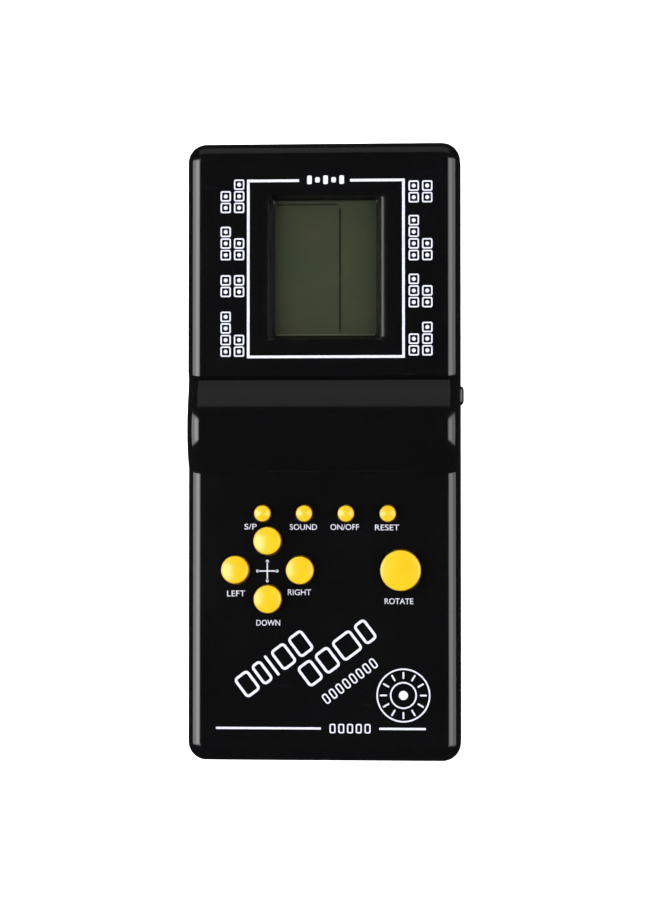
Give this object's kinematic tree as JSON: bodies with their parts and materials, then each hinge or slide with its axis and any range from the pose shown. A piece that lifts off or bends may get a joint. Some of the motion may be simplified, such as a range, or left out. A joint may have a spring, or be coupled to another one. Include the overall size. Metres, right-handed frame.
{
  "type": "handheld lcd game",
  "caption": "Handheld electronic game: flat two-part plastic case with a recessed LCD window, a raised cross roll, round push keys and a hooked battery door.",
  "frame": {"origin": "middle of the flat back, which the game lies on", "axes": "+Z out of the front face, +Y towards the display end, +X to the player's right"},
  "size_m": [0.0828, 0.185, 0.026],
  "materials": {
    "case_gloss": "glossy moulded ABS, black",
    "case_matte": "satin moulded ABS, black",
    "clear_lens": "clear polished acrylic",
    "lcd_glass": "olive green reflective LCD behind a polariser",
    "white_plastic": "plain moulded",
    "silicone": "moulded silicone rubber",
    "circuit_board": "paper phenolic board with solder mask",
    "epoxy": "black potting epoxy",
    "capacitor_sleeve": "shrink sleeve",
    "brass": "rolled sheet",
    "silvered_ceramic": "fired silver on ceramic",
    "cell_sleeve": "printed cell sleeve",
    "plated_steel": "nickel plated",
    "black_wire": "PVC insulation",
    "red_wire": "PVC insulation",
    "yellow_key": "moulded, satin gloss",
    "carbon_rubber": "conductive carbon rubber"
  },
  "bodies": {
    "case": {"front_shell": "case_gloss", "back_shell": "case_matte", "window_lens": "clear_lens", "lcd_panel": "lcd_glass", "lcd_holder": "white_plastic", "zebra_strip": "silicone", "keypad_membrane": "silicone", "main_pcb": "circuit_board", "chip_blob": "epoxy", "filter_capacitor": "capacitor_sleeve", "piezo_disc": "brass", "piezo_ceramic": "silvered_ceramic", "cell_lower": "cell_sleeve", "cell_upper": "cell_sleeve", "spring_lower": "plated_steel", "spring_upper": "plated_steel", "contact_negative": "plated_steel", "contact_positive": "plated_steel", "contact_link": "plated_steel", "wire_negative": "black_wire", "wire_positive": "red_wire", "wire_sounder_ceramic": "red_wire", "wire_sounder_disc": "black_wire", "case_screw_top_left": "plated_steel", "case_screw_top_right": "plated_steel", "case_screw_middle_left": "plated_steel", "case_screw_middle_right": "plated_steel", "case_screw_bottom_left": "plated_steel", "case_screw_bottom_right": "plated_steel", "board_screw_top_left": "plated_steel", "board_screw_top_right": "plated_steel", "board_screw_bottom_left": "plated_steel", "board_screw_bottom_right": "plated_steel"},
    "start_pause_key": {"key_start_pause": "yellow_key", "contact_pill_start_pause": "carbon_rubber"},
    "sound_key": {"key_sound": "yellow_key", "contact_pill_sound": "carbon_rubber"},
    "on_off_key": {"key_on_off": "yellow_key", "contact_pill_on_off": "carbon_rubber"},
    "reset_key": {"key_reset": "yellow_key", "contact_pill_reset": "carbon_rubber"},
    "up_key": {"key_up": "yellow_key", "contact_pill_up": "carbon_rubber"},
    "left_key": {"key_left": "yellow_key", "contact_pill_left": "carbon_rubber"},
    "right_key": {"key_right": "yellow_key", "contact_pill_right": "carbon_rubber"},
    "down_key": {"key_down": "yellow_key", "contact_pill_down": "carbon_rubber"},
    "rotate_key": {"key_rotate": "yellow_key", "contact_pill_rotate": "carbon_rubber"},
    "door": {"battery_door": "case_matte"}
  },
  "joints": [
    {"name": "start_pause_press", "type": "slide", "parent": "case", "child": "start_pause_key", "axis": [0, 0, -1], "range_m": [0, 0.0012], "stiffness_N_per_m": 1200, "deforming": ["keypad_membrane"]},
    {"name": "sound_press", "type": "slide", "parent": "case", "child": "sound_key", "axis": [0, 0, -1], "range_m": [0, 0.0012], "stiffness_N_per_m": 1200, "deforming": ["keypad_membrane"]},
    {"name": "on_off_press", "type": "slide", "parent": "case", "child": "on_off_key", "axis": [0, 0, -1], "range_m": [0, 0.0012], "stiffness_N_per_m": 1200, "deforming": ["keypad_membrane"]},
    {"name": "reset_press", "type": "slide", "parent": "case", "child": "reset_key", "axis": [0, 0, -1], "range_m": [0, 0.0012], "stiffness_N_per_m": 1200, "deforming": ["keypad_membrane"]},
    {"name": "up_press", "type": "slide", "parent": "case", "child": "up_key", "axis": [0, 0, -1], "range_m": [0, 0.0012], "stiffness_N_per_m": 1200, "deforming": ["keypad_membrane"]},
    {"name": "left_press", "type": "slide", "parent": "case", "child": "left_key", "axis": [0, 0, -1], "range_m": [0, 0.0012], "stiffness_N_per_m": 1200, "deforming": ["keypad_membrane"]},
    {"name": "right_press", "type": "slide", "parent": "case", "child": "right_key", "axis": [0, 0, -1], "range_m": [0, 0.0012], "stiffness_N_per_m": 1200, "deforming": ["keypad_membrane"]},
    {"name": "down_press", "type": "slide", "parent": "case", "child": "down_key", "axis": [0, 0, -1], "range_m": [0, 0.0012], "stiffness_N_per_m": 1200, "deforming": ["keypad_membrane"]},
    {"name": "rotate_press", "type": "slide", "parent": "case", "child": "rotate_key", "axis": [0, 0, -1], "range_m": [0, 0.0012], "stiffness_N_per_m": 1200, "deforming": ["keypad_membrane"]},
    {"name": "door_swing", "type": "hinge", "parent": "case", "child": "door", "pos_m": [-0.0025, 0.0235, 0], "axis": [1, 0, 0], "range_deg": [0, 75]}
  ]
}
